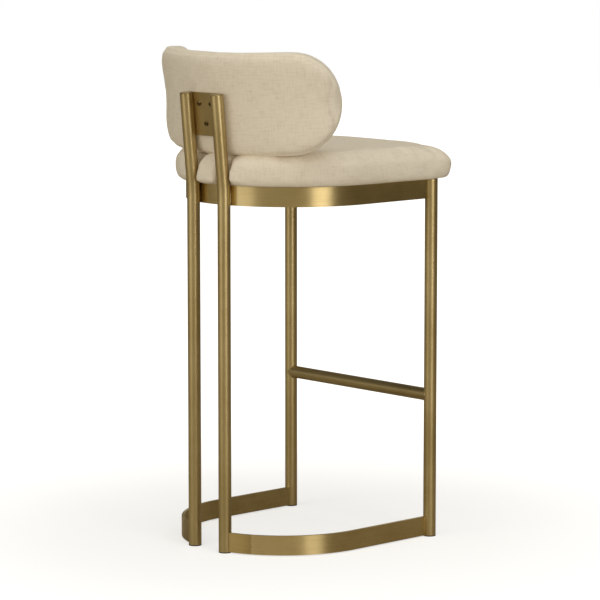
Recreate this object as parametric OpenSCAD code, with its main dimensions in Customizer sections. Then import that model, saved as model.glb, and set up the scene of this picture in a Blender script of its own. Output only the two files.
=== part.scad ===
// Bar stool with footrest: a welded frame of round tube and flat bar, with an upholstered
// seat and a curved upholstered back rest bolted to it.
// +Z is up, the sitter faces -Y, and +X is the sitter's left. Millimetres.
// The origin is on the floor, at the middle of the stool's width and depth.

/* [Tubes and bars] */
// Outer diameter of the round tubes
tube_d = 25; // [22:0.5:28]
// Wall thickness of the round tubes
tube_wall = 1.5; // [1.2:0.1:2.5]
// Height of the flat bars, which stand on edge
bar_h = 38; // [32:1:44]
// Thickness of the flat bars
bar_t = 6; // [4:0.5:8]

/* [Frame] */
// Distance between the front legs' axes
leg_spacing = 407; // [390:1:425]
// Distance between the rear posts' axes
post_spacing = 89; // [82:1:100]
// Distance from the front legs' axes back to the rear posts' axes
frame_depth = 400; // [385:1:415]
// Height of the seat ring's top edge above the floor
ring_top = 712; // [650:1:760]
// Height of the footrest's axis above the floor
footrest_z = 283; // [200:1:340]
// Angle at which the posts lean back above the seat
post_lean = 5.4; // [3:0.1:8]
// Length of each post above its bend
post_rise = 187; // [180:1:200]
// Centre line radius of the posts' bend
bend_r = 250; // [150:10:300]
// Distance by which the base bars' outer faces lie behind the posts' axes
base_set_back = 4; // [2:0.5:5]
// Height of the back plate
plate_h = 83; // [76:1:95]
// Thickness of the back plate
plate_t = 5; // [4:0.5:6]
// Thickness of the glides' heads under the tubes
glide_t = 2; // [1.5:0.5:4]

/* [Seat] */
// Height of the seat above the ring
seat_h = 62; // [58:1:66]
// Distance by which the seat stands out beyond the ring
seat_overhang = 20; // [16:1:24]
// Distance by which the seat stands out in front of the front legs' axes
front_overhang = 53; // [50:1:60]
// Plan radius of the seat's front corners
seat_corner_r = 52; // [48:1:60]
// Radius of the seat's rounding down to its underside
seat_under_r = 24; // [18:1:26]
// Gap between the seat and the posts that pass through its back edge
post_gap = 5; // [4:0.5:8]
// Thickness of the plywood under the seat
seat_board_t = 12; // [9:1:15]

/* [Back rest] */
// Height of the back rest
rest_h = 190; // [180:1:200]
// Length of the back rest round its outer face
rest_len = 572; // [540:2:600]
// Thickness of the back rest
rest_t = 56; // [50:1:60]
// Radius of the back rest's outer face, seen from above
rest_r = 355; // [330:1:380]
// Height of the back rest's lower edge above the bend, along the posts
rest_low = 70; // [70:0.5:74]
// Rounding of the back rest's two ends, seen from above
rest_end_r = 28; // [24:1:32]
// Squareness of the back rest's section: 2 is an ellipse
rest_square = 4; // [3:0.5:6]

/* [Fasteners] */
// Thread diameter of all the screws
screw_d = 6; // [5:1:6]
// Distance of the two upper back screws on each side of the middle
screw_side = 17; // [14:1:20]
// Distance of the upper back screws below the plate's top edge
screw_upper = 21; // [18:1:26]
// Distance of the lower back screw below the plate's top edge
screw_lower = 59; // [54:1:64]

/* [Hidden] */

$fn = 96;

brass = [0.60, 0.50, 0.32];
steel = [0.72, 0.72, 0.74];
linen = [0.80, 0.73, 0.62];
foam = [0.93, 0.90, 0.78];
plywood = [0.76, 0.62, 0.43];
black_cloth = [0.10, 0.10, 0.10];
nylon = [0.12, 0.12, 0.12];

fit = 0.05;          // clearance of one piece pushed inside another
through = 1;         // how far a cut runs past the face that it opens
cloth_t = 1.5;       // thickness of the upholstery cloth and its backing
tube_r = tube_d / 2;
bore_r = tube_r - tube_wall;
cap_t = 2;
cap_chamfer = 0.6;
leg_x = leg_spacing / 2;
post_x = post_spacing / 2;

// The posts' tops are the rearmost point, and the seat's edge is the foremost.
lean_run = (post_rise - cap_chamfer) * sin(post_lean) + tube_r * cos(post_lean);
leg_y = -(frame_depth + lean_run - front_overhang) / 2;
post_y = leg_y + frame_depth;

frame_low = glide_t;                     // the frame stands on its glides
ring_low = ring_top - bar_h;
bend_z = ring_top - 11;                  // where the posts' two straight lines would meet
bend_half = bend_r * tan(post_lean / 2);
bend_skin = 0.1;                         // the bend's wall holds both straight lengths' ends inside it
bend_lap = 0.4;                          // angle by which the bend runs on over each of them

// Flat bars: the ring presses against the posts' front, the base bars end on their sides.
weld_bite = 0.4;
ring_r = leg_x + bar_t / 2;
ring_y = post_y - sqrt(pow(ring_r + tube_r - weld_bite, 2) - pow(post_x, 2));
base_r = leg_x;
base_y = post_y + base_set_back - sqrt(pow(base_r, 2) - pow(post_x, 2));

// Seat
seat_r = ring_r + seat_overhang;
seat_top = ring_top + seat_h;
seat_widest_z = ring_top + seat_under_r;
seat_shoulder_r = seat_top - seat_widest_z;
seat_front_y = leg_y - front_overhang;
corner_x = seat_r - seat_corner_r;
corner_y = seat_front_y + seat_corner_r;
front_lap = 30;                          // length over which the front edge's solid enters the middle
board_inset = 27;
board_low = ring_top + cloth_t;
board_top = board_low + seat_board_t;
dust_inset = 42;

// Tabs that carry the seat, and the screws through them
tab_l = 36;
tab_w = 32;
tab_t = 4;
tab_turn = 48;                           // angle of the rear tabs from the middle of the ring's back
front_tab_x = 120;
screw_in = 17;                           // from a bar's inner face to a seat screw's axis
screw_hole_d = screw_d + 0.6;
washer_d = 14;
washer_t = 1.2;
head_d = screw_d * 1.75;
head_h = screw_d * 0.55;
nut_flange_d = 18;
nut_flange_t = 1.5;
nut_barrel_d = 7.8;
nut_barrel_h = 9;
thread_r = screw_d / 2;

// Back rest, in a frame that stands on the bend and leans with the posts
rest_half_len = rest_len / 2;
rest_half_h = rest_h / 2;
rest_half_t = rest_t / 2;
rest_mid = rest_low + rest_half_h;
rest_gap = 0.2;                          // between the plate and the back rest's cloth
rest_rear_y = -tube_r - rest_gap;
rest_columns = 32;
rest_ring = 24;
rest_tip = 0.6;                          // flat left at each end of the back rest
rest_board_r = rest_r - 8;
rest_board_t = 12;
rest_board_h = 128;
rest_board_turn = 34;                    // the board reaches this far round on each side
plate_low = post_rise - plate_h;
plate_w = post_spacing - 13;
back_screws = [[-screw_side, screw_upper], [screw_side, screw_upper], [0, screw_lower]];

// ---- Frames of reference and outlines ----

// Places its children in the frame that leans with the posts above their bend.
module leaning() {
    translate([0, post_y, bend_z]) rotate([-post_lean, 0, 0]) children();
}

// The child on the sitter's left, and its copy on the right.
module both_sides() {
    for (side = [0, 1]) mirror([side, 0, 0]) children();
}

// Filled outline: a half circle round the back and straight sides forward to the front legs.
module d_outline(radius, centre_y, front_y = leg_y) {
    intersection() {
        union() {
            translate([0, centre_y]) circle(radius, $fn = 180);
            translate([-radius, front_y]) square([2 * radius, centre_y - front_y]);
        }
        translate([-radius - through, front_y]) square(2 * radius + 2 * through);
    }
}

// Flat bar on edge that follows the outline.
module bar_round(radius, centre_y, low) {
    translate([0, 0, low]) linear_extrude(bar_h) difference() {
        d_outline(radius, centre_y);
        translate([0, -through]) d_outline(radius - bar_t, centre_y + through, leg_y - through);
    }
}

module legs_solid() {
    both_sides() translate([leg_x, leg_y, 0]) cylinder(h = seat_top, r = tube_r);
}

module posts_solid() {
    both_sides() translate([post_x, post_y, 0]) cylinder(h = ring_top, r = tube_r);
}

// Space that the leaning posts take, with a gap round them.
module post_slots(gap) {
    leaning() both_sides() translate([post_x, 0, -bar_h]) cylinder(h = 3 * bar_h + seat_h, r = tube_r + gap);
}

// ---- Frame ----

module tube(length) {
    difference() {
        cylinder(h = length, r = tube_r);
        translate([0, 0, -through]) cylinder(h = length + 2 * through, r = bore_r);
    }
}

module rear_post() {
    straight = bend_z - bend_half - frame_low;
    translate([post_x, post_y, 0]) {
        translate([0, 0, frame_low]) tube(straight);
        translate([0, bend_r, bend_z - bend_half]) rotate([90, 0, 0]) rotate([0, 90, 0])
            rotate([0, 0, 180 + bend_lap]) rotate_extrude(angle = -post_lean - 2 * bend_lap)
                translate([bend_r, 0]) difference() {
                    circle(tube_r + bend_skin);
                    circle(bore_r - bend_skin);
                }
    }
    leaning() translate([post_x, 0, bend_half]) tube(post_rise - bend_half - cap_t);
}

module rear_post_left() { color(brass) rear_post(); }
module rear_post_right() { color(brass) mirror([1, 0, 0]) rear_post(); }

module rear_post_caps() {
    color(brass) leaning() both_sides() translate([post_x, 0, post_rise - cap_t]) {
        cylinder(h = cap_t - cap_chamfer, r = tube_r);
        translate([0, 0, cap_t - cap_chamfer])
            cylinder(h = cap_chamfer, r1 = tube_r, r2 = tube_r - cap_chamfer);
    }
}

module front_leg() {
    translate([leg_x, leg_y, frame_low]) tube(ring_top - frame_low);
}

module front_leg_left() { color(brass) front_leg(); }
module front_leg_right() { color(brass) mirror([1, 0, 0]) front_leg(); }

module footrest_bar() {
    color(brass) difference() {
        translate([-leg_x, leg_y, footrest_z]) rotate([0, 90, 0]) tube(leg_spacing);
        legs_solid();
    }
}

module base_bar() {
    difference() {
        bar_round(base_r, base_y, frame_low);
        translate([post_x - 2 * base_r, -2 * base_r, -through])
            cube([2 * base_r, 4 * base_r, bar_h + 2 * through + frame_low]);
        legs_solid();
        posts_solid();
    }
}

module base_bar_left() { color(brass) base_bar(); }
module base_bar_right() { color(brass) mirror([1, 0, 0]) base_bar(); }

module seat_ring() {
    color(brass) difference() {
        bar_round(ring_r, ring_y, ring_low);
        legs_solid();
        posts_solid();
    }
}

module seat_front_rail() {
    color(brass) difference() {
        translate([-leg_x, leg_y - bar_t / 2, ring_low]) cube([leg_spacing, bar_t, bar_h]);
        legs_solid();
    }
}

module back_plate() {
    color(brass) leaning() difference() {
        translate([-plate_w / 2, -tube_r, plate_low]) cube([plate_w, plate_t, plate_h]);
        both_sides() translate([post_x, 0, plate_low - through])
            cylinder(h = plate_h + 2 * through, r = tube_r);
        at_back_screws() translate([0, 0, -through])
            cylinder(h = plate_t + 2 * through, d = screw_hole_d);
    }
}

module floor_glide() {
    cylinder(h = glide_t, r = tube_r);
    translate([0, 0, glide_t]) cylinder(h = tube_d / 2, r = bore_r - fit);
}

module floor_glides() {
    color(nylon) both_sides() {
        translate([leg_x, leg_y, 0]) floor_glide();
        translate([post_x, post_y, 0]) floor_glide();
    }
}

// ---- Seat screws and the tabs that they pass through ----

// Children at each seat screw, on its axis, at height 0.
module at_seat_screws() {
    both_sides() {
        translate([front_tab_x, leg_y + bar_t / 2 + screw_in, 0]) children();
        translate([0, ring_y, 0]) rotate(-tab_turn) translate([0, ring_r - bar_t - screw_in, 0])
            children();
    }
}

module seat_mounting_tabs() {
    color(brass) difference() {
        both_sides() {
            translate([front_tab_x - tab_l / 2, leg_y + bar_t / 2, ring_top - tab_t])
                cube([tab_l, tab_w, tab_t]);
            intersection() {
                translate([0, ring_y, 0]) rotate(-tab_turn)
                    translate([-tab_l / 2, ring_r - bar_t - tab_w, ring_top - tab_t])
                        cube([tab_l, tab_w + bar_t, tab_t]);
                translate([0, ring_y, 0]) cylinder(h = ring_top, r = ring_r - bar_t, $fn = 180);
            }
        }
        at_seat_screws() cylinder(h = ring_top + through, d = screw_hole_d);
    }
}

module seat_washers() {
    color(steel) difference() {
        at_seat_screws() translate([0, 0, ring_top - tab_t - washer_t]) cylinder(h = washer_t, d = washer_d);
        at_seat_screws() cylinder(h = ring_top, d = screw_hole_d);
    }
}

// A screw with its head below height 0 and its shank above it.
module screw(length) {
    translate([0, 0, -head_h]) difference() {
        cylinder(h = head_h, r1 = head_d * 0.36, r2 = head_d / 2);
        translate([0, 0, -through]) cylinder(h = through + head_h * 0.55, d = screw_d * 0.72, $fn = 6);
    }
    cylinder(h = length, r = thread_r);
}

module seat_screws() {
    color(steel) at_seat_screws() translate([0, 0, ring_top - tab_t - washer_t])
        screw(washer_t + tab_t + cloth_t + seat_board_t - 1);
}

// A nut whose flange lies above height 0 and whose barrel hangs below it.
module tee_nut() {
    difference() {
        union() {
            cylinder(h = nut_flange_t, d = nut_flange_d);
            translate([0, 0, -nut_barrel_h]) cylinder(h = nut_barrel_h, d = nut_barrel_d);
        }
        translate([0, 0, -nut_barrel_h - through])
            cylinder(h = nut_barrel_h + nut_flange_t + 2 * through, r = thread_r + fit);
    }
}

module seat_tee_nuts() {
    color(steel) at_seat_screws() translate([0, 0, board_top]) tee_nut();
}

// ---- Seat ----

// Half of the seat's section: the first axis runs outwards to reach, the second is height.
module seat_half_section(reach, inset) {
    out = reach - inset;
    for (part = [[seat_shoulder_r, 0], [seat_under_r, 1]]) {
        r = part[0] - inset;
        translate([0, seat_widest_z]) mirror([0, part[1]]) intersection() {
            union() {
                translate([out - r, 0]) circle(r);
                square([out - r, r]);
            }
            square([out, r]);
        }
    }
}

// The cushion's whole form, every face of it moved in by inset.
module seat_form(inset = 0) {
    translate([0, ring_y, 0]) rotate_extrude(angle = 180, $fn = 144) seat_half_section(seat_r, inset);
    translate([0, ring_y, 0]) rotate([90, 0, 0]) linear_extrude(ring_y - corner_y)
        for (side = [0, 1]) mirror([side, 0]) seat_half_section(seat_r, inset);
    translate([corner_x, corner_y + front_lap, 0]) rotate([0, 0, -90]) rotate([90, 0, 0])
        linear_extrude(2 * corner_x) seat_half_section(seat_corner_r + front_lap, inset);
    both_sides() translate([corner_x, corner_y, 0]) rotate([0, 0, -90])
        rotate_extrude(angle = 90) seat_half_section(seat_corner_r, inset);
}

// Flat outline of the seat, moved in by inset.
module seat_outline(inset) {
    d_outline(seat_r - inset, ring_y, corner_y);
    translate([-corner_x, seat_front_y + inset]) square([2 * corner_x, seat_corner_r]);
    for (side = [-1, 1]) translate([side * corner_x, corner_y]) circle(seat_corner_r - inset);
}

module seat_plate(inset, low, thick, gap) {
    difference() {
        translate([0, 0, low]) linear_extrude(thick) seat_outline(inset);
        post_slots(gap);
        at_seat_screws() translate([0, 0, low - through])
            cylinder(h = thick + 2 * through, d = nut_barrel_d + 2 * fit);
    }
}

module seat_board() { color(plywood) seat_plate(board_inset, board_low, seat_board_t, post_gap + 5); }

module seat_dust_cover() { color(black_cloth) seat_plate(dust_inset, ring_top, cloth_t - fit, post_gap + 8); }

module seat_foam() {
    clear = 0.2;
    color(foam) difference() {
        seat_form(cloth_t + fit);
        post_slots(post_gap + cloth_t + fit);
        translate([0, 0, ring_top]) linear_extrude(cloth_t + seat_board_t + fit)
            seat_outline(board_inset - clear);
        at_seat_screws() translate([0, 0, board_low])
            cylinder(h = seat_board_t + nut_flange_t + clear, d = nut_flange_d + 2 * clear);
    }
}

module seat_cover() {
    color(linen) difference() {
        seat_form();
        post_slots(post_gap);
        difference() {
            seat_form(cloth_t);
            post_slots(post_gap + cloth_t);
        }
        translate([0, 0, ring_top - through]) linear_extrude(cloth_t + 2 * through)
            seat_outline(dust_inset - 1);
    }
}

// ---- Back rest ----

function signed_power(v, p) = sign(v) * pow(abs(v), p);

// What is left of a half size at a distance past the point where its round end begins.
function round_end(half_size, past, end_r) =
    half_size * sqrt(max(0, 1 - pow(max(0, past) / end_r, 2)));

// One point of the back rest: along is the distance round its outer face from the middle.
function rest_point(along, angle, inset) =
    let (
        high = round_end(rest_half_h, abs(along) - (rest_half_len - rest_half_h), rest_half_h),
        thick = round_end(rest_half_t, abs(along) - (rest_half_len - rest_end_r), rest_end_r),
        r = rest_r - rest_half_t
            + max(0.1, thick - inset) * signed_power(cos(angle), 2 / rest_square),
        up = max(0.1, high - inset) * signed_power(sin(angle), 2 / rest_square),
        turn = along / rest_r * 180 / PI
    ) [r * sin(turn), rest_rear_y - rest_r + r * cos(turn), rest_mid + up];

// The cushion's whole form, every face of it moved in by inset, in the leaning frame.
module rest_form(inset = 0) {
    n = rest_ring;
    reach = rest_half_len - rest_tip - inset;
    points = [
        for (c = [0 : rest_columns]) let (along = -reach * cos(180 * c / rest_columns))
            for (k = [0 : n - 1]) rest_point(along, 360 * (k + 0.5) / n, inset)
    ];
    walls = [
        for (c = [0 : rest_columns - 1], k = [0 : n - 1])
            let (a = c * n + k, b = c * n + (k + 1) % n)
                for (face = [[a, a + n, b], [b, a + n, b + n]]) face
    ];
    first_end = [for (k = [0 : n - 1]) k];
    last_end = [for (k = [n - 1 : -1 : 0]) rest_columns * n + k];
    polyhedron(points, concat(walls, [first_end, last_end]));
}

// Children at each back screw: height 0 is the plate's front face, and up is rearwards.
module at_back_screws() {
    for (place = back_screws) translate([place[0], -tube_r, post_rise - place[1]])
        rotate([-90, 0, 0]) children();
}

module back_rest_board() {
    color(plywood) leaning() difference() {
        translate([0, rest_rear_y - rest_r, rest_mid - rest_board_h / 2])
            rotate([0, 0, 90 - rest_board_turn]) rotate_extrude(angle = 2 * rest_board_turn, $fn = 180)
                translate([rest_board_r - rest_board_t, 0]) square([rest_board_t, rest_board_h]);
        at_back_screws() translate([0, 0, -rest_t]) cylinder(h = rest_t, d = nut_barrel_d + 2 * fit);
    }
}

// Depth from the plate's front face to the board's inner face at the middle.
rest_nut_depth = rest_gap + rest_r - rest_board_r + rest_board_t + 0.6;

module back_rest_tee_nuts() {
    color(steel) leaning() at_back_screws() translate([0, 0, -rest_nut_depth]) mirror([0, 0, 1]) tee_nut();
}

module back_rest_screws() {
    color(steel) leaning() at_back_screws() translate([0, 0, plate_t]) mirror([0, 0, 1])
        screw(plate_t + rest_nut_depth - 1);
}

module back_rest_foam() {
    clear = 0.2;
    color(foam) leaning() difference() {
        rest_form(cloth_t + fit);
        translate([0, rest_rear_y - rest_r, rest_mid - rest_board_h / 2 - clear])
            rotate([0, 0, 90 - rest_board_turn - 0.1])
                rotate_extrude(angle = 2 * rest_board_turn + 0.2, $fn = 180)
                    translate([rest_board_r - rest_board_t - clear, 0])
                        square([rest_board_t + 2 * clear, rest_board_h + 2 * clear]);
        at_back_screws() translate([0, 0, -rest_nut_depth - 2 * nut_flange_t])
            cylinder(h = 2 * nut_flange_t, d = nut_flange_d + 2 * clear);
        at_back_screws() translate([0, 0, -rest_nut_depth]) cylinder(h = rest_nut_depth, d = nut_barrel_d);
    }
}

module back_rest_cover() {
    color(linen) leaning() difference() {
        rest_form();
        rest_form(cloth_t);
        at_back_screws() translate([0, 0, -2 * tube_r]) cylinder(h = 2 * tube_r, d = nut_barrel_d);
    }
}

rear_post_left();
rear_post_right();
rear_post_caps();
front_leg_left();
front_leg_right();
footrest_bar();
base_bar_left();
base_bar_right();
seat_ring();
seat_front_rail();
seat_mounting_tabs();
back_plate();
floor_glides();
seat_board();
seat_foam();
seat_cover();
seat_dust_cover();
seat_screws();
seat_washers();
seat_tee_nuts();
back_rest_board();
back_rest_foam();
back_rest_cover();
back_rest_tee_nuts();
back_rest_screws();
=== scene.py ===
import math
import random

import bmesh
import bpy
from bpy.props import FloatProperty, FloatVectorProperty, PointerProperty
from bpy.types import Operator, Panel, PropertyGroup
from mathutils import Matrix, Vector


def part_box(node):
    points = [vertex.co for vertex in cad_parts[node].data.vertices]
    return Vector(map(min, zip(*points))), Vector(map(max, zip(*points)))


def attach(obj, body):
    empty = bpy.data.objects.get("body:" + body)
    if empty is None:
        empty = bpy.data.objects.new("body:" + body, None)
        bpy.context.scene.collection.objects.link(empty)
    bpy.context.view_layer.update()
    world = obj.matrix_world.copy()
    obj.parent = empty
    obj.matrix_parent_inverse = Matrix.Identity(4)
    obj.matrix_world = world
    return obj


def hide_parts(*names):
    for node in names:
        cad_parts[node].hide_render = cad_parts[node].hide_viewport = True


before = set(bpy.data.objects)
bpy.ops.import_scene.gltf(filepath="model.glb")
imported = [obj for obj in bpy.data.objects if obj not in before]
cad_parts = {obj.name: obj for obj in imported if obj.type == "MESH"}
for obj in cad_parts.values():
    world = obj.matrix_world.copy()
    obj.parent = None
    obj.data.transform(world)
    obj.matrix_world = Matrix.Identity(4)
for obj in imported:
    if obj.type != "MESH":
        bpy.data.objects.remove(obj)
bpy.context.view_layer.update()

bl_info = {
    "name": "Bar stool upholstery and finishes",
    "version": (1, 0, 0),
    "blender": (4, 5, 0),
    "location": "3D View > Sidebar > Stool",
    "description": "Makes the cushions, welds and finishes of an upholstered bar stool round its packed frame",
    "category": "Object",
}

MM = 0.001
BAR_T = 6 * MM  # thickness of the flat bars
BEND_BELOW_RING_TOP = 11 * MM  # where the rear posts start to lean back
DUST_CLEARANCE = 0.35 * MM
RING_CLEARANCE = 0.25 * MM
PLATE_CLEARANCE = 0.3 * MM


# ---- Places and sizes read from the frame ----

class Stool:
    """Where the frame's parts are, in metres."""

    def __init__(self):
        leg_low, leg_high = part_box("front_leg_left")
        post_low, post_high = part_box("rear_post_left")
        ring_low, ring_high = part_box("seat_ring")
        cap_low, cap_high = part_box("rear_post_caps")
        seat_low, seat_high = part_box("seat_cover")
        dust_low, dust_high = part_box("seat_dust_cover")
        base_low, base_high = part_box("base_bar_left")
        rest_bar_low, rest_bar_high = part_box("footrest_bar")
        self.tube_r = (leg_high.x - leg_low.x) / 2
        self.leg = Vector((leg_low.x + self.tube_r, leg_low.y + self.tube_r))
        self.post = Vector((post_low.x + self.tube_r, post_low.y + self.tube_r))
        self.ring_top = ring_high.z
        self.ring_low = ring_low.z
        self.ring_r = ring_high.x
        self.ring_y = ring_high.y - self.ring_r
        self.base_low, self.base_top = base_low.z, base_high.z
        self.base_r = base_high.x
        self.footrest_z = (rest_bar_low.z + rest_bar_high.z) / 2
        self.seat_r = seat_high.x
        self.seat_top = seat_high.z
        self.seat_front = seat_low.y
        self.dust_top = dust_high.z
        self.dust_inset = self.seat_r - dust_high.x
        self.bend_z = self.ring_top - BEND_BELOW_RING_TOP
        cap_y = (cap_low.y + cap_high.y) / 2
        cap_z = (cap_low.z + cap_high.z) / 2
        self.lean = math.atan2(cap_y - self.post.y, cap_z - self.bend_z)
        self.leaning = (
            Matrix.Translation((0, self.post.y, self.bend_z)) @ Matrix.Rotation(-self.lean, 4, "X")
        )

    def post_centre(self, z):
        """A post's axis at a height, as a point on the sitter's left."""
        return Vector((self.post.x, self.post.y + max(0, z - self.bend_z) * math.tan(self.lean), z))


STOOL = Stool()


# ---- What a user would change ----

class SeatSettings(PropertyGroup):
    round_top: FloatProperty(
        name="Top rounding", description="Radius between the seat's top and its side",
        default=27 * MM, min=20 * MM, max=40 * MM, unit="LENGTH")
    round_under: FloatProperty(
        name="Under rounding", description="Radius between the seat's side and its underside",
        default=6 * MM, min=4 * MM, max=24 * MM, unit="LENGTH")
    corner: FloatProperty(
        name="Corner radius", description="Radius of the two front corners, seen from above",
        default=38 * MM, min=36 * MM, max=70 * MM, unit="LENGTH")
    shoulder: FloatProperty(
        name="Shoulder", description="How far the seat's top falls away towards its edge",
        default=14 * MM, min=0, max=20 * MM, unit="LENGTH")
    shoulder_in: FloatProperty(
        name="Shoulder width", description="How far inside the edge the top begins to fall away",
        default=80 * MM, min=40 * MM, max=150 * MM, unit="LENGTH")
    crown: FloatProperty(
        name="Crown", description="How much higher than its frame's padding the seat's top starts",
        default=3.5 * MM, min=0, max=6 * MM, unit="LENGTH")
    corner_fall: FloatProperty(
        name="Corner fall", description="How much further the top falls away at the two front corners",
        default=12 * MM, min=0, max=20 * MM, unit="LENGTH")
    corner_in: FloatProperty(
        name="Corner width", description="How far from a front corner that further fall begins",
        default=165 * MM, min=80 * MM, max=200 * MM, unit="LENGTH")
    slack: FloatProperty(
        name="Slack", description="How much smaller the seat starts, so that it can swell",
        default=-5.5 * MM, min=-8 * MM, max=8 * MM, unit="LENGTH")
    swell: FloatProperty(
        name="Swell", description="The furthest that the padding pushes the cloth",
        default=9 * MM, min=5 * MM, max=16 * MM, unit="LENGTH")
    notch: FloatProperty(
        name="Post gap", description="Gap between the seat and each rear post that passes it",
        default=3.5 * MM, min=1 * MM, max=6 * MM, unit="LENGTH")


class BackRestSettings(PropertyGroup):
    radius: FloatProperty(
        name="Outer radius", description="Radius of the rear face, seen from above",
        default=364 * MM, min=330 * MM, max=400 * MM, unit="LENGTH")
    length: FloatProperty(
        name="Length", description="Length round the rear face",
        default=571 * MM, min=500 * MM, max=600 * MM, unit="LENGTH")
    height: FloatProperty(
        name="Height", description="Height of the back rest",
        default=189 * MM, min=150 * MM, max=200 * MM, unit="LENGTH")
    thickness: FloatProperty(
        name="Thickness", description="Thickness of the back rest",
        default=56 * MM, min=40 * MM, max=60 * MM, unit="LENGTH")
    middle: FloatProperty(
        name="Middle", description="Height of its middle above the posts' bend",
        default=163.5 * MM, min=150 * MM, max=180 * MM, unit="LENGTH")
    squareness: FloatProperty(
        name="Squareness", description="Exponent of the rounded section: 2 is an ellipse",
        default=4.8, min=2.0, max=6.0)
    waist: FloatProperty(
        name="Waist", description="How far the rear face is drawn in at mid height, at the ends",
        default=10 * MM, min=0, max=12 * MM, unit="LENGTH")
    belly: FloatProperty(
        name="Belly", description="How much taller its middle starts, because swelling draws it in",
        default=3.5 * MM, min=0, max=6 * MM, unit="LENGTH")
    slack: FloatProperty(
        name="Slack", description="How much smaller the back rest starts, so that it can swell",
        default=-2.0 * MM, min=-4 * MM, max=8 * MM, unit="LENGTH")
    swell: FloatProperty(
        name="Swell", description="The furthest that the padding pushes the cloth",
        default=6 * MM, min=5 * MM, max=16 * MM, unit="LENGTH")
    seam_in: FloatProperty(
        name="Seam", description="Distance of the rear panel's seam in front of the rear face",
        default=9 * MM, min=4 * MM, max=20 * MM, unit="LENGTH")


class FinishSettings(PropertyGroup):
    brass: FloatVectorProperty(
        name="Brass", description="Colour of the brushed antique brass", subtype="COLOR",
        default=(0.60, 0.47, 0.235), min=0, max=1)
    brass_dark: FloatVectorProperty(
        name="Aged brass", description="Colour of the brass where it has darkened", subtype="COLOR",
        default=(0.36, 0.255, 0.095), min=0, max=1)
    brass_rough: FloatProperty(
        name="Brass roughness", description="Roughness of the brushed brass",
        default=0.33, min=0.1, max=0.7, subtype="FACTOR")
    linen: FloatVectorProperty(
        name="Linen", description="Colour of the upholstery cloth", subtype="COLOR",
        default=(0.95, 0.86, 0.72), min=0, max=1)
    linen_dark: FloatVectorProperty(
        name="Linen slubs", description="Colour of the darker threads", subtype="COLOR",
        default=(0.80, 0.70, 0.56), min=0, max=1)
    thread: FloatProperty(
        name="Thread", description="Distance from one thread of the cloth to the next",
        default=1.5 * MM, min=0.5 * MM, max=3 * MM, unit="LENGTH")


class StageSettings(PropertyGroup):
    azimuth: FloatProperty(
        name="Azimuth", description="Angle of the camera round the stool, from the front",
        default=math.radians(227.39), subtype="ANGLE")
    elevation: FloatProperty(
        name="Elevation", description="Angle of the camera above the horizon",
        default=math.radians(7.683), subtype="ANGLE")
    distance: FloatProperty(
        name="Distance", description="Distance of the camera from the point it looks at",
        default=5.9093, min=1, max=20, unit="LENGTH")
    aim: FloatVectorProperty(
        name="Aim", description="Point that the camera looks at", subtype="TRANSLATION",
        default=(0, -0.0264, 0.4667))
    lens: FloatProperty(
        name="Lens", description="Focal length in millimetres on a 36 mm sensor",
        default=179.05, min=20, max=400)
    key: FloatProperty(
        name="Softboxes", description="Power of the two tall softboxes in watts",
        default=22, min=0, max=500)
    ambient: FloatProperty(
        name="Room", description="Brightness of the room round the stage",
        default=0.63, min=0, max=2)
    shade: FloatProperty(
        name="Dark side", description="Brightness of the dark part of the room, beside the stool",
        default=0.02, min=0, max=2)


# ---- Mesh helpers ----

def show(mesh, name):
    """A piece of that name in the scene, with its place in its mesh."""
    piece = bpy.data.objects.new(name, mesh)
    bpy.context.scene.collection.objects.link(piece)
    return piece


def from_bmesh(bm, name, smooth=True):
    """A piece made from a bmesh, welded and with its normals outward."""
    bmesh.ops.remove_doubles(bm, verts=bm.verts, dist=0.01 * MM)
    bmesh.ops.recalc_face_normals(bm, faces=bm.faces)
    mesh = bpy.data.meshes.new(name)
    bm.to_mesh(mesh)
    bm.free()
    for polygon in mesh.polygons:
        polygon.use_smooth = smooth
    return show(mesh, name)


def bake_modifiers(piece):
    """Applies what a piece's modifiers make of it."""
    made = bpy.data.meshes.new_from_object(piece.evaluated_get(bpy.context.evaluated_depsgraph_get()))
    old = piece.data
    piece.modifiers.clear()
    piece.data = made
    made.name = piece.name
    bpy.data.meshes.remove(old)
    for polygon in made.polygons:
        polygon.use_smooth = True


def remesh(piece, voxel):
    """Gives a piece an even skin of small quads."""
    step = piece.modifiers.new("Remesh", "REMESH")
    step.mode = "VOXEL"
    step.voxel_size = voxel
    bake_modifiers(piece)


def cut(piece, cutter):
    """Takes the cutter's volume away from the piece, and then the cutter itself."""
    step = piece.modifiers.new("Cut", "BOOLEAN")
    step.operation = "DIFFERENCE"
    step.solver = "EXACT"
    step.object = cutter
    bake_modifiers(piece)
    mesh = cutter.data
    bpy.data.objects.remove(cutter)
    bpy.data.meshes.remove(mesh)


def subdivide(piece):
    """Halves the size of a piece's faces and rounds them."""
    step = piece.modifiers.new("Subdivision", "SUBSURF")
    step.levels = step.render_levels = 1
    bake_modifiers(piece)


def relax(piece, times, chosen=lambda place: True):
    """Smooths the chosen stretch of a piece a few times."""
    bm = bmesh.new()
    bm.from_mesh(piece.data)
    verts = [v for v in bm.verts if chosen(v.co)]
    for _ in range(times):
        bmesh.ops.smooth_vert(
            bm, verts=verts, factor=0.5, use_axis_x=True, use_axis_y=True, use_axis_z=True)
    bm.to_mesh(piece.data)
    bm.free()


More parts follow.
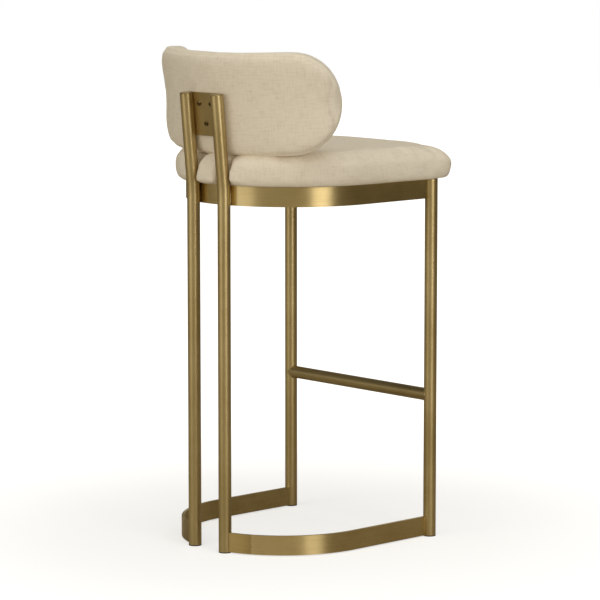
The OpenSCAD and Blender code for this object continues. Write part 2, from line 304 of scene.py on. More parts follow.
def puff(piece, cap, held, frames=20, pressure=4.0):
    """Swells a piece from inside as padding does. held(place) is how firmly it stays, from 0 to 1."""
    rest = [v.co.copy() for v in piece.data.vertices]
    group = piece.vertex_groups.new(name="held")
    for v in piece.data.vertices:
        grip = held(v.co)
        if grip > 0:
            group.add([v.index], grip, "REPLACE")
    step = piece.modifiers.new("Cloth", "CLOTH")
    cloth = step.settings
    cloth.quality = 4
    cloth.mass = 0.3
    cloth.tension_stiffness = cloth.compression_stiffness = 12
    cloth.shear_stiffness = 6
    cloth.bending_stiffness = 0.8
    cloth.use_pressure = True
    cloth.uniform_pressure_force = pressure
    cloth.effector_weights.gravity = 0
    cloth.vertex_group_mass = "held"
    step.point_cache.frame_start = 1
    step.point_cache.frame_end = frames
    scene = bpy.context.scene
    for at in range(1, frames + 1):
        scene.frame_set(at)
    bake_modifiers(piece)
    scene.frame_set(1)
    piece.vertex_groups.clear()
    for v, start in zip(piece.data.vertices, rest):
        push = v.co - start
        if push.length > cap:
            v.co = start + push * (cap / push.length)


def point_attribute(piece, name, rows):
    """Stores three numbers at each point, for a material to read."""
    layer = piece.data.attributes.new(name, "FLOAT_VECTOR", "POINT")
    for item, row in zip(layer.data, rows):
        item.vector = row


def bump_shape(distance, reach):
    """1 at distance 0, easing to 0 at reach."""
    share = min(1, abs(distance) / reach)
    return (1 - share * share) ** 2


def power(value, exponent):
    """A power that keeps its value's sign."""
    return math.copysign(abs(value) ** exponent, value)


# ---- Seat ----

def seat_outline(bm, inset, z):
    """Closed outline of the seat at a height: a round back, straight sides and two round corners."""
    settings = bpy.context.scene.stool_seat
    reach = STOOL.seat_r - inset
    corner_r = settings.corner - inset
    centre_y = STOOL.ring_y
    corner = Vector((STOOL.seat_r - settings.corner, STOOL.seat_front + settings.corner, z))

    def turn(vert, about, angle, count):
        spun = bmesh.ops.spin(
            bm, geom=[vert], cent=about, axis=(0, 0, 1), angle=angle, steps=count, use_merge=False)
        return [g for g in spun["geom_last"] if isinstance(g, bmesh.types.BMVert)][0]

    def run(vert, to, count):
        step = (Vector(to) - vert.co) / count
        for _ in range(count):
            vert = bmesh.ops.extrude_vert_indiv(bm, verts=[vert])["verts"][0]
            vert.co += step
        return vert

    first = bm.verts.new((reach, centre_y, z))
    last = turn(first, (0, centre_y, z), math.pi, 72)
    last = run(last, (-reach, corner.y, z), 16)
    last = turn(last, (-corner.x, corner.y, z), math.pi / 2, 10)
    last = run(last, (corner.x, corner.y - corner_r, z), 30)
    last = turn(last, corner, math.pi / 2, 10)
    run(last, (reach, centre_y, z), 16)
    bmesh.ops.remove_doubles(bm, verts=bm.verts, dist=0.1 * MM)
    return list(bm.edges)


def seat_side_run(place):
    """Distance round the seat's side to a place, from the middle of the back."""
    settings = bpy.context.scene.stool_seat
    side = math.copysign(1, place.x)
    x, y = abs(place.x), place.y
    quarter = STOOL.seat_r * math.pi / 2
    corner_y = STOOL.seat_front + settings.corner
    corner_x = STOOL.seat_r - settings.corner
    if y > STOOL.ring_y:
        return side * STOOL.seat_r * math.atan2(x, y - STOOL.ring_y)
    if y > corner_y:
        return side * (quarter + STOOL.ring_y - y)
    along = quarter + STOOL.ring_y - corner_y
    if x > corner_x:
        return side * (along + settings.corner * math.atan2(corner_y - y, x - corner_x))
    return side * (along + settings.corner * math.pi / 2 + corner_x - x)


def inside_seat(place):
    """How far a place lies inside the seat's outline, seen from above."""
    settings = bpy.context.scene.stool_seat
    x, y = abs(place.x), place.y
    if y > STOOL.ring_y:
        return STOOL.seat_r - math.hypot(x, y - STOOL.ring_y)
    corner_y = STOOL.seat_front + settings.corner
    corner_x = STOOL.seat_r - settings.corner
    if y < corner_y and x > corner_x:
        return settings.corner - math.hypot(x - corner_x, y - corner_y)
    return min(STOOL.seat_r - x, y - STOOL.seat_front)


def post_slot(gap):
    """A round-ended slot round both leaning posts, open to the rear."""
    bm = bmesh.new()
    radius = STOOL.tube_r + gap
    length = 0.2
    for side in (-1, 1):
        made = bmesh.ops.create_circle(bm, cap_ends=True, segments=48, radius=radius)["verts"]
        for v in made:
            if v.co.y > 0:
                v.co.y = radius * 3
        face = made[0].link_faces[0]
        top = bmesh.ops.extrude_face_region(bm, geom=[face])["geom"]
        top = [g for g in top if isinstance(g, bmesh.types.BMVert)]
        bmesh.ops.translate(bm, verts=top, vec=(0, 0, length))
        bmesh.ops.translate(bm, verts=made + top, vec=(side * STOOL.post.x, 0, -length / 4))
    bmesh.ops.transform(bm, matrix=STOOL.leaning, verts=bm.verts)
    return from_bmesh(bm, "slot", smooth=False)


def post_distance(place):
    """Distance of a place from the nearer rear post's axis, and the way out from it."""
    axis = STOOL.post_centre(place.z)
    axis.x = math.copysign(axis.x, place.x)
    out = place - axis
    out.z = 0
    return out.length, out


class STOOL_OT_seat(Operator):
    """Makes the seat cushion: a crowned pad that is notched round the posts and flat on the frame"""
    bl_idname = "stool.seat"
    bl_label = "Seat cushion"

    def execute(self, context):
        settings = context.scene.stool_seat
        bm = bmesh.new()
        start_above_ring = 0.6 * MM
        low = STOOL.ring_top + start_above_ring
        edges = seat_outline(bm, settings.slack, low)
        base = bmesh.ops.contextual_create(bm, geom=edges)["faces"]
        top = bmesh.ops.extrude_face_region(bm, geom=base)["geom"]
        verts = [g for g in top if isinstance(g, bmesh.types.BMVert)]
        high = STOOL.seat_top + settings.crown
        bmesh.ops.translate(bm, verts=verts, vec=(0, 0, high - low))
        for level, radius in ((high, settings.round_top), (low, settings.round_under)):
            rim = [e for e in bm.edges if all(abs(v.co.z - level) < MM for v in e.verts)]
            bmesh.ops.bevel(
                bm, geom=rim, offset=radius, offset_type="OFFSET", segments=8, profile=0.5,
                affect="EDGES", material=-1, clamp_overlap=True)
        for v in bm.verts:
            rise = (v.co.z - low) / (high - low)
            edge = max(0, 1 - inside_seat(v.co) / settings.shoulder_in)
            away = math.hypot(STOOL.seat_r - abs(v.co.x), STOOL.seat_front - v.co.y)
            near = max(0, 1 - away / settings.corner_in)
            fall = settings.shoulder * min(1, edge) ** 2 + settings.corner_fall * near ** 2
            v.co.z -= fall * rise
        piece = from_bmesh(bm, "seat_cushion")
        cut(piece, post_slot(settings.notch))
        remesh(piece, 5 * MM)
        relax(piece, 2)
        near_post = STOOL.tube_r + 16 * MM
        relax(piece, 4, lambda place: post_distance(place)[0] < near_post)

        def held(place):
            """The underside stays where it lies on the ring and the board."""
            return float(place.z < STOOL.ring_top + 3 * MM and inside_seat(place) > 7 * MM)

        puff(piece, settings.swell, held)
        relax(piece, 3)
        subdivide(piece)
        self.rest_on_frame(piece, settings)
        self.add_weave(piece)
        dress(piece, linen_finish())
        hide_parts("seat_cover", "seat_foam")
        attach(piece, "root")
        return {"FINISHED"}

    def rest_on_frame(self, piece, settings):
        """Lays the underside on the ring, clear of the dust cover, and keeps the notches open."""
        clear = STOOL.tube_r + settings.notch * 0.5
        laid = 6 * MM
        looked_at = 12 * MM
        for v in piece.data.vertices:
            depth = inside_seat(v.co)
            if v.co.z < STOOL.ring_top + looked_at and depth > 18 * MM:
                under = STOOL.ring_top + RING_CLEARANCE
                if depth > STOOL.dust_inset - 3 * MM:
                    under = STOOL.dust_top + DUST_CLEARANCE
                lies = v.co.z < STOOL.ring_top + laid
                v.co.z = under if lies else max(v.co.z, under)
            distance, out = post_distance(v.co)
            if distance < clear:
                v.co += out.normalized() * (clear - distance)

    def add_weave(self, piece):
        """Stores where each point lies on the cloth: on the panel, on the border, and which of them."""
        panel, border = [], []
        for v in piece.data.vertices:
            level = min(1, max(0, abs(v.normal.z) * 2.6 - 0.9))
            panel.append((v.co.x, v.co.y, 1 - level))
            border.append((seat_side_run(v.co), v.co.z, 0))
        point_attribute(piece, "panel", panel)
        point_attribute(piece, "border", border)


# ---- Back rest ----

class RestForm:
    """The back rest's form, in the frame that leans with the posts. Depth is measured from its rear face."""

    def __init__(self, settings, inset=0.0):
        self.s = settings
        self.rear_y = -STOOL.tube_r - 0.2 * MM
        self.half_length = settings.length / 2 - inset
        self.half_height = settings.height / 2 - inset
        self.half_thick = settings.thickness / 2 - inset
        self.round_depth = settings.thickness * 0.54

    def half_height_at(self, along):
        """The ends are half circles, seen from the rear."""
        past = max(0, abs(along) - (self.half_length - self.half_height)) / self.half_height
        middle = self.s.belly * max(0, 1 - (along / self.half_length) ** 2)
        return (self.half_height + middle) * max(0, 1 - past ** 2) ** 0.5

    def half_thick_at(self, along):
        """The ends are round too, seen from above."""
        past = max(0, abs(along) - (self.half_length - self.round_depth)) / self.round_depth
        return self.half_thick * math.sqrt(max(0, 1 - past * past))

    def point(self, u, w):
        """u runs from end to end and w round the section, both from -1 to 1."""
        s = self.s
        along = self.half_length * math.sin(math.pi / 2 * u)
        angle = math.pi * w
        deep = power(math.cos(angle), 2 / s.squareness)
        up = power(math.sin(angle), 2 / s.squareness)
        share = abs(along) / self.half_length
        radius = s.radius - s.thickness / 2 + self.half_thick_at(along) * deep
        radius -= s.waist * (1 - up * up) * share
        turn = along / s.radius
        return Vector((
            radius * math.sin(turn),
            self.rear_y - s.radius + radius * math.cos(turn),
            s.middle + self.half_height_at(along) * up,
        ))

    def measure(self, place):
        """Along, depth behind the rear face's circle, and height from the middle of a leaning place."""
        centre_y = self.rear_y - self.s.radius
        turn = math.atan2(place.x, place.y - centre_y)
        depth = self.s.radius - math.hypot(place.x, place.y - centre_y)
        return turn * self.s.radius, depth, place.z - self.s.middle


class STOOL_OT_back_rest(Operator):
    """Makes the back rest cushion: a curved pad with round ends and a seam round its rear panel"""
    bl_idname = "stool.back_rest"
    bl_label = "Back rest cushion"

    def execute(self, context):
        settings = context.scene.stool_back_rest
        form = RestForm(settings, settings.slack)
        bm = bmesh.new()
        bmesh.ops.create_grid(bm, x_segments=110, y_segments=80, size=1)
        for v in bm.verts:
            v.co = form.point(v.co.x, v.co.y)
        piece = from_bmesh(bm, "back_rest_cushion")
        remesh(piece, 4.5 * MM)
        relax(piece, 2)

        def held(place):
            """The middle of the rear face stays on its board."""
            along, depth, high = form.measure(place)
            if depth > settings.thickness * 0.3 or abs(high) > settings.height * 0.36:
                return 0.0
            return 0.9 if abs(along) < settings.length * 0.36 else 0.4

        puff(piece, settings.swell, held, pressure=3.0)
        subdivide(piece)
        self.sew(piece, form, settings)
        self.add_weave(piece, form)
        piece.data.transform(STOOL.leaning)
        dress(piece, linen_finish())
        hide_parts("back_rest_cover", "back_rest_foam")
        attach(piece, "root")
        return {"FINISHED"}

    def sew(self, piece, form, settings):
        """Draws the cloth in along the rear panel's seam, with a soft roll on each side of it."""
        seam_depth = 1.8 * MM
        seam_reach = 4.5 * MM
        normals = [v.normal.copy() for v in piece.data.vertices]
        for v, normal in zip(piece.data.vertices, normals):
            off = form.measure(v.co)[1] - settings.seam_in
            v.co -= normal * (seam_depth * bump_shape(off, seam_reach))
            # The rear face lies flat on the plate and stays clear of the posts.
            between_posts = abs(v.co.x) < STOOL.post.x + STOOL.tube_r
            if between_posts and form.rear_y - v.co.y < PLATE_CLEARANCE:
                v.co.y = form.rear_y - PLATE_CLEARANCE

    def add_weave(self, piece, form):
        """Stores where each point lies on the rear or front panel, on the border and in the seam."""
        panel, border = [], []
        piece.data.update()
        for v in piece.data.vertices:
            along, depth, high = form.measure(v.co)
            turn = along / form.s.radius
            radial = abs(v.normal.x * math.sin(turn) + v.normal.y * math.cos(turn))
            facing = min(1, max(0, radial * 2.6 - 0.9))
            # The linen paints shade along this band of the seam.
            seam = bump_shape(depth - form.s.seam_in, 2.2 * MM)
            panel.append((along, high, 1 - facing))
            border.append((along + high, depth, seam))
        point_attribute(piece, "panel", panel)
        point_attribute(piece, "border", border)


# ---- Welds and small hardware ----

def bead(bm, path, radius, closed=False, seed=1):
    """A weld bead along a path: a round section with a slightly uneven, rippled run."""
    chance = random.Random(seed)
    rings = []
    count = len(path)
    for i, place in enumerate(path):
        ahead = path[(i + 1) % count] if closed or i < count - 1 else path[i]
        behind = path[i - 1] if closed or i > 0 else path[i]
        way = (ahead - behind).normalized()
        size = radius * (0.9 + 0.2 * chance.random())
        if not closed and i in (0, count - 1):
            size *= 0.3
        ring = bmesh.ops.create_circle(bm, cap_ends=False, segments=8, radius=size)["verts"]
        turn = way.to_track_quat("Z", "Y").to_matrix().to_4x4()
        bmesh.ops.transform(bm, matrix=Matrix.Translation(place) @ turn, verts=ring)
        rings.append(list({e for v in ring for e in v.link_edges}))
    pairs = zip(rings, rings[1:] + (rings[:1] if closed else []))
    for one, other in pairs:
        bmesh.ops.bridge_loops(bm, edges=one + other)
    if not closed:
        for ring in (rings[0], rings[-1]):
            bmesh.ops.contextual_create(bm, geom=ring)


def upright(x, y, low, high):
    """Points of an upright bead."""
    count = 14
    return [Vector((x, y, low + (high - low) * i / (count - 1))) for i in range(count)]


class STOOL_OT_welds(Operator):
    """Makes the weld beads where the bars and tubes of the frame meet"""
    bl_idname = "stool.welds"
    bl_label = "Weld beads"

    def execute(self, context):
        bm = bmesh.new()
        large, middling, small = 1.3 * MM, 1.1 * MM, 1.0 * MM
        gap = 0.2 * MM
        end = 2 * MM
        for side in (-1, 1):
            mirror = Vector((side, 1, 1))
            seed = 10 + side

            def run(points, closed=False, size=large):
                bead(bm, [p * mirror for p in points], size, closed, seed)

            # Seat ring to rear post: one bead on each side of the tube's front.
            for turn in (-1, 1):
                angle = math.radians(-90 + turn * 26)
                x = STOOL.post.x + (STOOL.tube_r + gap) * math.cos(angle)
                y = STOOL.post.y + (STOOL.tube_r + gap) * math.sin(angle)
                run(upright(x, y, STOOL.ring_low + end, STOOL.ring_top - 13 * MM))
            # Footrest to front leg: a saddle round the bar's end.
            loop = []
            for i in range(40):
                a = 2 * math.pi * i / 40
                y, z = math.cos(a) * STOOL.tube_r * 0.97, math.sin(a) * STOOL.tube_r
                x = STOOL.leg.x - math.sqrt(max(0, STOOL.tube_r ** 2 - y * y)) - gap
                loop.append(Vector((x, STOOL.leg.y + y, STOOL.footrest_z + z)))
            run(loop, closed=True, size=middling)
            # Flat bars to front leg, outside and inside the bar.
            for low, high, reach in (
                (STOOL.base_low, STOOL.base_top, STOOL.base_r),
                (STOOL.ring_low, STOOL.ring_top, STOOL.ring_r),
            ):
                for x in (reach, reach - BAR_T):
                    off = x - STOOL.leg.x
                    y = STOOL.leg.y + math.sqrt(max(0, STOOL.tube_r ** 2 - off * off))
                    run(upright(x, y, low + end, high - end), size=small)
            # Front rail to front leg.
            for y_side in (-1, 1):
                off = y_side * BAR_T / 2
                x = STOOL.leg.x - math.sqrt(STOOL.tube_r ** 2 - off * off)
                low, high = STOOL.ring_low + end, STOOL.ring_top - end
                run(upright(x, STOOL.leg.y + off, low, high), size=small)
        piece = from_bmesh(bm, "frame_weld_beads")
        dress(piece, brass_finish("weld_brass", (160, 160, 160), shade=0.9))
        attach(piece, "root")
        return {"FINISHED"}


# ---- Finishes ----

class Number:
    """A number that varies over a surface. Its arithmetic adds Math nodes to the material."""

    def __init__(self, finish, socket):
        self.finish = finish
        self.socket = socket

    def math(self, operation, *others):
        sockets = dict(enumerate((self,) + others))
        return self.finish.node("ShaderNodeMath", {"operation": operation}, sockets)["Value"]

    def __add__(self, other):
        return self.math("ADD", other)

    __radd__ = __add__

    def __mul__(self, other):
        return self.math("MULTIPLY", other)

    __rmul__ = __mul__

    def __sub__(self, other):
        return self.math("SUBTRACT", other)

    def __rsub__(self, other):
        return self * -1 + other

    def wave(self):
        return self.math("SINE")

    def between(self, low, high):
        """0 up to low and 1 from high, easing between them."""
        sockets = {"Value": self, "From Min": low, "From Max": high}
        settings = {"interpolation_type": "SMOOTHSTEP"}
        return self.finish.node("ShaderNodeMapRange", settings, sockets)["Result"]


class Made:
    """A node's outputs, by name."""

    def __init__(self, finish, node):
        self.finish = finish
        self.node = node

    def __getitem__(self, key):
        return Number(self.finish, self.node.outputs[key])


class Finish:
    """A material in the making."""

    def __init__(self, name):
        self.material = bpy.data.materials.new(name)
        self.material.use_nodes = True
        self.tree = self.material.node_tree
        self.tree.nodes.clear()

    def node(self, kind, settings=None, sockets=None):
        made = self.tree.nodes.new(kind)
        for key, value in (settings or {}).items():
            setattr(made, key, value)
        for key, value in (sockets or {}).items():
            if isinstance(value, Number):
                self.tree.links.new(value.socket, made.inputs[key])
            else:
                made.inputs[key].default_value = value
        return Made(self, made)

    def place(self):
        return self.node("ShaderNodeTexCoord")["Object"]

    def stretched(self, place, scale):
        settings = {"operation": "MULTIPLY"}
        return self.node("ShaderNodeVectorMath", settings, {0: place, 1: scale})["Vector"]

    def noise(self, place, scale=1.0, detail=3.0, rough=0.5):
        sockets = {"Vector": place, "Scale": scale, "Detail": detail, "Roughness": rough}
        return self.node("ShaderNodeTexNoise", None, sockets)["Fac"]

    def mix(self, share, one, other):
        """A colour between two others."""
        sockets = {"Factor": share, 6: one, 7: other}
        return self.node("ShaderNodeMix", {"data_type": "RGBA"}, sockets)[2]

    def bump(self, height, distance, strength=1.0):
        sockets = {"Height": height, "Distance": distance, "Strength": strength}
        return self.node("ShaderNodeBump", None, sockets)["Normal"]

    def done(self, **sockets):
        """Ends the material in one Principled shader. A name's _ stands for a space."""
        named = {key.replace("_", " "): value for key, value in sockets.items()}
        shader = self.node("ShaderNodeBsdfPrincipled", None, named)["BSDF"]
        self.node("ShaderNodeOutputMaterial", None, {"Surface": shader})
        return self.material


def colour(values, shade=1.0):
    return tuple(v * shade for v in values) + (1.0,)


def dress(piece, material):
    """Puts one material in all of a piece's slots."""
    if not piece.data.materials:
        piece.data.materials.append(material)
    for held in piece.material_slots:
        held.material = material


def brass_finish(
        name, grain, shade=1.0, darkening=0.0, darker_zone=None, spread=0.0, relief=0.4, rougher=0.0):
    """Brushed antique brass. grain is how fast the brush marks change along X, Y and Z.

    spread is how much the marks of a level brush draw a reflection out upwards and downwards,
    relief is how much they stand out, and rougher is what they add to the roughness.
    shade scales the colour: above 1 it paints light onto a part, and below 1 it paints shade.
    Two more arguments move the colour towards the dark brass: an amount for the whole part
    and a function that gives a stretch of it."""
    settings = bpy.context.scene.stool_finish
    f = Finish(name)
    place = f.place()
    marks = f.noise(f.stretched(place, grain), 1.0, 4.0, 0.65)
    fine = f.noise(f.stretched(place, tuple(g * 2.7 for g in grain)), 1.0, 2.0, 0.5)
    clouds = f.noise(place, 9.0, 4.0, 0.55)
    smears = f.noise(place, 38.0, 3.0, 0.6)
    brushed = marks * 0.6 + fine * 0.4
    # Share of the dark brass: random patina clouds and brush marks, plus a part's own darkening, which is
    # painted shade on the caps and screw heads.
    patina_and_shade = (clouds - 0.5) * 1.0 + (brushed - 0.5) * 0.9 + 0.35 + darkening
    if darker_zone is not None:
        patina_and_shade = patina_and_shade + darker_zone(f, place) * 0.5
    # Scaling both colours by shade paints light onto a part above 1 and paints shade below 1.
    new, old = colour(settings.brass, shade), colour(settings.brass_dark, shade)
    tone = f.mix(patina_and_shade.between(0.0, 1.0), new, old)
    rough = settings.brass_rough + rougher + (brushed - 0.5) * 0.10 + (smears - 0.5) * 0.03
    normal = f.bump(brushed, 0.05 * MM, relief)
    return f.done(
        Base_Color=tone, Metallic=1.0, Roughness=rough, Normal=normal,
        Anisotropic=spread, Anisotropic_Rotation=0.25)


def darker_near_posts(f, place):
    """1 on the stretch of the base bars from their middle out to 55 mm beyond each rear post, where the brass
    is made darker.
    """
    axes = f.node("ShaderNodeSeparateXYZ", None, {"Vector": place})
    across = axes["X"].math("ABSOLUTE")
    reach = STOOL.post.x + 55 * MM
    wobble = (f.noise(place, 120.0, 2.0) - 0.5) * 0.004
    return 1 - (across + wobble).between(reach, reach + 2 * MM)


def weave(u, v, thread):
    """Height of a plain weave of two thread directions, from 0 to about 1."""
    turn = math.pi / thread
    over = (u * turn).wave() * (v * turn).wave()
    warp = ((u * turn * 2).wave() * 0.5 + 0.5) * (over * 0.5 + 0.5)
    weft = ((v * turn * 2).wave() * 0.5 + 0.5) * (0.5 - over * 0.5)
    return warp + weft


def linen_finish():
    """Oatmeal linen: a plain weave with slubs, faint mottling and painted shade along the seam."""
    if "linen_weave" in bpy.data.materials:
        return bpy.data.materials["linen_weave"]
    settings = bpy.context.scene.stool_finish
    f = Finish("linen_weave")
    place = f.place()

    def cloth(name):
        found = f.node("ShaderNodeAttribute", {"attribute_name": name, "attribute_type": "GEOMETRY"})
        return found["Vector"], f.node("ShaderNodeSeparateXYZ", None, {"Vector": found["Vector"]})

    panel_place, panel = cloth("panel")
    border_place, border = cloth("border")
    share = panel["Z"]
    seam = border["Z"]

    def cloth_layer(where, axes):
        yarn = weave(axes["X"], axes["Y"], settings.thread)
        weft = f.noise(f.stretched(where, (40, 300, 0)), 1.0, 3.0, 0.6)
        warp = f.noise(f.stretched(where, (300, 40, 0)), 1.0, 3.0, 0.6)
        return yarn, weft, warp

    yarn_1, weft_1, warp_1 = cloth_layer(panel_place, panel)
    yarn_2, weft_2, warp_2 = cloth_layer(border_place, border)
    yarn = yarn_1 * (1 - share) + yarn_2 * share
    weft = weft_1 * (1 - share) + weft_2 * share
    warp = warp_1 * (1 - share) + warp_2 * share
    slubs = weft.between(0.52, 0.70) * 0.6 + warp.between(0.54, 0.72) * 0.5
    mottle = f.noise(place, 26.0, 4.0, 0.6)
    fuzz = f.noise(place, 900.0, 2.0, 0.5)
    threads = slubs * 0.2 + (weft + warp - 1) * 0.95
    # The seam's share adds painted shade along the back rest's sewn-in seam.
    dark = threads + (mottle - 0.5) * 0.4 + (0.6 - yarn) * 0.2 + 0.22 + seam * 0.3
    tone = f.mix(dark.between(0.0, 1.0), colour(settings.linen), colour(settings.linen_dark))
    height = yarn + (weft + warp) * 0.7 + fuzz * 0.25
    normal = f.bump(height, 0.28 * MM, 0.75)
    return f.done(
        Base_Color=tone, Roughness=0.92 - slubs * 0.08, Normal=normal,
        Sheen_Weight=0.12, Sheen_Roughness=0.5, Specular_IOR_Level=0.2)


def plywood_finish():
    """Birch plywood: long grain on the faces and fine plies up the edges."""
    f = Finish("plywood")
    place = f.place()
    plies = f.noise(f.stretched(place, (6, 6, 900)), 1.0, 2.0, 0.5)
    grain = f.noise(f.stretched(place, (12, 190, 190)), 1.0, 5.0, 0.65)
    share = grain * 0.7 + plies * 0.3
    tone = f.mix(share, colour((0.60, 0.42, 0.23)), colour((0.36, 0.22, 0.10)))
    return f.done(Base_Color=tone, Roughness=0.62 + grain * 0.2, Normal=f.bump(grain, 0.2 * MM, 0.5))


def felt_finish(name, tone_1, tone_2, scale):
    """Matted fibres, for the dust cover and the padding that no one sees."""
    f = Finish(name)
    place = f.place()
    fibres = f.noise(place, scale, 6.0, 0.75)
    tone = f.mix(fibres.between(0.3, 0.7), colour(tone_1), colour(tone_2))
    return f.done(Base_Color=tone, Roughness=0.95, Normal=f.bump(fibres, 0.4 * MM, 0.6))


def nylon_finish():
    """Black nylon, scuffed by the floor."""
    f = Finish("glide_nylon")
    place = f.place()
    grit = f.noise(place, 1500.0, 3.0, 0.5)
    scuffs = f.noise(f.stretched(place, (300, 300, 20)), 1.0, 3.0, 0.6)
    share = scuffs.between(0.5, 0.8)
    tone = f.mix(share, colour((0.012, 0.012, 0.013)), colour((0.045, 0.043, 0.04)))
    return f.done(Base_Color=tone, Roughness=0.45 + scuffs * 0.25, Normal=f.bump(grit, 0.06 * MM, 0.5))


def steel_finish():
    """Zinc-plated steel."""
    f = Finish("fastener_steel")
    place = f.place()
    spots = f.noise(place, 420.0, 3.0, 0.6)
    tone = f.mix(spots, colour((0.62, 0.62, 0.60)), colour((0.42, 0.41, 0.38)))
    return f.done(
        Base_Color=tone, Metallic=1.0, Roughness=0.28 + spots * 0.2, Normal=f.bump(spots, 0.05 * MM, 0.5))


class STOOL_OT_finishes(Operator):
    """Gives every part of the frame its brushed brass, steel, nylon, plywood or cloth"""
    bl_idname = "stool.finishes"
    bl_label = "Finishes"

    def execute(self, context):
        upright_grain = (1400, 1400, 6)
        level_grain = (7, 7, 950)
        across_grain = (9, 900, 900)
        tube = brass_finish("brass_tube", upright_grain, relief=0.1, rougher=0.05)
        # Ring, front rail and tabs 5 % brighter than the tubes: painted light.
        bar = brass_finish("brass_bar", level_grain, shade=1.05, spread=0.75)
        # Base bars a quarter brighter than the tubes: painted light, standing in for softbox light that does
        # not reach down to them.
        base = brass_finish("brass_base_bar", level_grain, darker_zone=darker_near_posts, shade=1.25, spread=0.85)
        # Footrest 15 % darker than the tubes: painted shade.
        footrest = brass_finish("brass_footrest", across_grain, shade=0.85, relief=0.15)
        plate = brass_finish("brass_plate", upright_grain, darkening=0.1)
        # Caps at three quarters brightness and moved towards the dark brass: painted shade for the dark
        # reflection on their tops.
        cap = brass_finish("brass_cap", (300, 300, 300), shade=0.75, darkening=0.2)
        # Screw heads at half brightness and moved towards the dark brass: painted shade.
        head = brass_finish("brass_screw", (500, 500, 500), shade=0.5, darkening=0.4)
        plywood = plywood_finish()
        dust = felt_finish("dust_cloth", (0.010, 0.010, 0.011), (0.035, 0.034, 0.034), 900)
        foam = felt_finish("foam", (0.78, 0.72, 0.50), (0.62, 0.56, 0.38), 700)
        steel = steel_finish()
        chosen = {
            "rear_post_left": tube, "rear_post_right": tube, "rear_post_caps": cap,
            "front_leg_left": tube, "front_leg_right": tube, "footrest_bar": footrest,
            "base_bar_left": base, "base_bar_right": base, "seat_ring": bar,
            "seat_front_rail": bar, "seat_mounting_tabs": bar, "back_plate": plate,
            "floor_glides": nylon_finish(), "seat_board": plywood, "back_rest_board": plywood,
            "seat_dust_cover": dust, "seat_foam": foam, "back_rest_foam": foam,
            "seat_cover": linen_finish(), "back_rest_cover": linen_finish(),
            "seat_screws": steel, "seat_washers": steel, "seat_tee_nuts": steel,
            "back_rest_tee_nuts": steel, "back_rest_screws": head,
        }
        for name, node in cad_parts.items():
            dress(node, chosen[name])
        return {"FINISHED"}


# ---- Stage ----

def softbox(name, direction, height, size, power_w, distance=3.2):
    """A tall area light that faces the stool's middle."""
    light = bpy.data.lights.new(name, "AREA")
    light.shape = "RECTANGLE"
    light.size, light.size_y = size
    light.energy = power_w
    lamp = bpy.data.objects.new(name, light)
    bpy.context.scene.collection.objects.link(lamp)
    away = Vector((direction[0], direction[1], 0)).normalized() * distance
    lamp.location = away + Vector((0, 0, height))
    aim = Vector((0, 0, 0.45)) - lamp.location
    lamp.rotation_euler = aim.to_track_quat("-Z", "Y").to_euler()
    lamp.visible_camera = False


def light_room(settings):
    """A dim room for the light and the reflections, behind a plain white backdrop."""
    world = bpy.data.worlds.new("studio")
    world.use_nodes = True
    tree = world.node_tree
    tree.nodes.clear()
    path = tree.nodes.new("ShaderNodeLightPath")
    room = tree.nodes.new("ShaderNodeBackground")
    room.inputs["Color"].default_value = (1.0, 0.95, 0.80, 1)
    way = tree.nodes.new("ShaderNodeTexCoord")

    def lobe(toward, start, full, outside, inside):
        """One brightness away from a direction and another towards it."""
        facing = tree.nodes.new("ShaderNodeVectorMath")
        facing.operation = "DOT_PRODUCT"
        facing.inputs[1].default_value = Vector(toward).normalized()
        fade = tree.nodes.new("ShaderNodeMapRange")
        fade.interpolation_type = "SMOOTHSTEP"
        fade.inputs["From Min"].default_value = start
        fade.inputs["From Max"].default_value = full
        fade.inputs["To Min"].default_value = outside
        fade.inputs["To Max"].default_value = inside
        tree.links.new(way.outputs["Generated"], facing.inputs[0])
        tree.links.new(facing.outputs["Value"], fade.inputs["Value"])
        return fade.outputs["Result"]

    beside = lobe((-0.73, -0.67, -0.1), 0.35, 0.85, settings.ambient, settings.shade)
    above = lobe((0.74, 0.0, 0.55), 0.55, 0.8, 1.0, 0.25)
    both = tree.nodes.new("ShaderNodeMath")
    both.operation = "MULTIPLY"
    tree.links.new(beside, both.inputs[0])
    tree.links.new(above, both.inputs[1])
    tree.links.new(both.outputs["Value"], room.inputs["Strength"])
    backdrop = tree.nodes.new("ShaderNodeBackground")
    backdrop.inputs["Color"].default_value = (1, 1, 1, 1)
    backdrop.inputs["Strength"].default_value = 1.0
    choose = tree.nodes.new("ShaderNodeMixShader")
    out = tree.nodes.new("ShaderNodeOutputWorld")
    tree.links.new(path.outputs["Is Camera Ray"], choose.inputs["Fac"])
    tree.links.new(room.outputs[0], choose.inputs[1])
    tree.links.new(backdrop.outputs[0], choose.inputs[2])
    tree.links.new(choose.outputs[0], out.inputs["Surface"])
    bpy.context.scene.world = world


def floor_finish():
    """White floor that glows a little where it is seen, so that only soft shadows mark it."""
    f = Finish("studio_floor")
    seen = f.node("ShaderNodeLightPath")["Is Camera Ray"]
    dim = f.node("ShaderNodeBsdfDiffuse", None, {"Color": (0.52, 0.47, 0.38, 1)})["BSDF"]
    white = f.node("ShaderNodeBsdfDiffuse", None, {"Color": (0.62, 0.62, 0.62, 1)})["BSDF"]
    away = f.node("ShaderNodeVectorMath", {"operation": "LENGTH"}, {0: f.place()})["Value"]
    strength = 0.60 + away.between(0.35, 1.6) * 0.40
    glow = f.node("ShaderNodeEmission", None, {"Color": (1, 1, 1, 1), "Strength": strength})["Emission"]
    bright = f.node("ShaderNodeAddShader", None, {0: white, 1: glow})["Shader"]
    both = f.node("ShaderNodeMixShader", None, {0: seen, 1: dim, 2: bright})["Shader"]
    f.node("ShaderNodeOutputMaterial", None, {"Surface": both})
    return f.material


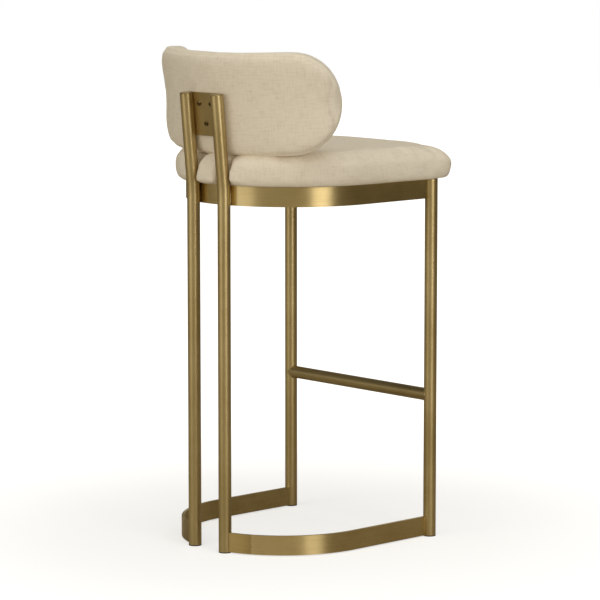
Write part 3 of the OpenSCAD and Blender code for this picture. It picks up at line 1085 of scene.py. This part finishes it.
class STOOL_OT_stage(Operator):
    """Makes the floor, the lights and the camera"""
    bl_idname = "stool.stage"
    bl_label = "Stage"

    def execute(self, context):
        settings = context.scene.stool_stage
        bm = bmesh.new()
        bmesh.ops.create_circle(bm, cap_ends=True, segments=96, radius=14)
        floor = from_bmesh(bm, "studio_floor", smooth=False)
        dress(floor, floor_finish())
        light_room(settings)
        softbox("softbox_side", (-0.985, 0.170), 1.0, (1.1, 2.4), settings.key)
        softbox("softbox_rear", (0.13, 0.98), 1.0, (1.8, 2.4), settings.key * 0.55)
        softbox("softbox_top", (-0.4, 0.3), 3.4, (2.4, 2.4), settings.key * 0.8, distance=0.5)
        self.set_camera(context, settings)
        context.scene.view_settings.view_transform = "Standard"
        return {"FINISHED"}

    def set_camera(self, context, settings):
        lens = bpy.data.cameras.new("camera")
        lens.lens = settings.lens
        lens.sensor_width = 36
        lens.clip_end = 60
        camera = bpy.data.objects.new("camera", lens)
        context.scene.collection.objects.link(camera)
        level = math.cos(settings.elevation)
        back = Vector((
            math.sin(settings.azimuth) * level,
            -math.cos(settings.azimuth) * level,
            math.sin(settings.elevation),
        ))
        camera.location = Vector(settings.aim) + back * settings.distance
        camera.rotation_euler = (-back).to_track_quat("-Z", "Y").to_euler()
        context.scene.camera = camera


# ---- Panel and registration ----

STEPS = (STOOL_OT_stage, STOOL_OT_finishes, STOOL_OT_seat, STOOL_OT_back_rest, STOOL_OT_welds)


class STOOL_PT_panel(Panel):
    bl_label = "Bar stool"
    bl_idname = "STOOL_PT_panel"
    bl_space_type = "VIEW_3D"
    bl_region_type = "UI"
    bl_category = "Stool"

    def draw(self, context):
        for step in STEPS:
            self.layout.operator(step.bl_idname)
        for group in GROUPS:
            box = self.layout.box()
            for name in GROUPS[group].__annotations__:
                box.prop(getattr(context.scene, group), name)


GROUPS = {
    "stool_seat": SeatSettings,
    "stool_back_rest": BackRestSettings,
    "stool_finish": FinishSettings,
    "stool_stage": StageSettings,
}
CLASSES = (*GROUPS.values(), *STEPS, STOOL_PT_panel)


def register():
    for cls in CLASSES:
        bpy.utils.register_class(cls)
    for name, group in GROUPS.items():
        setattr(bpy.types.Scene, name, PointerProperty(type=group))


def unregister():
    for name in GROUPS:
        delattr(bpy.types.Scene, name)
    for cls in reversed(CLASSES):
        bpy.utils.unregister_class(cls)


def main():
    register()
    bpy.ops.stool.stage()
    bpy.ops.stool.finishes()
    bpy.ops.stool.seat()
    bpy.ops.stool.back_rest()
    bpy.ops.stool.welds()


if __name__ == "__main__":
    main()
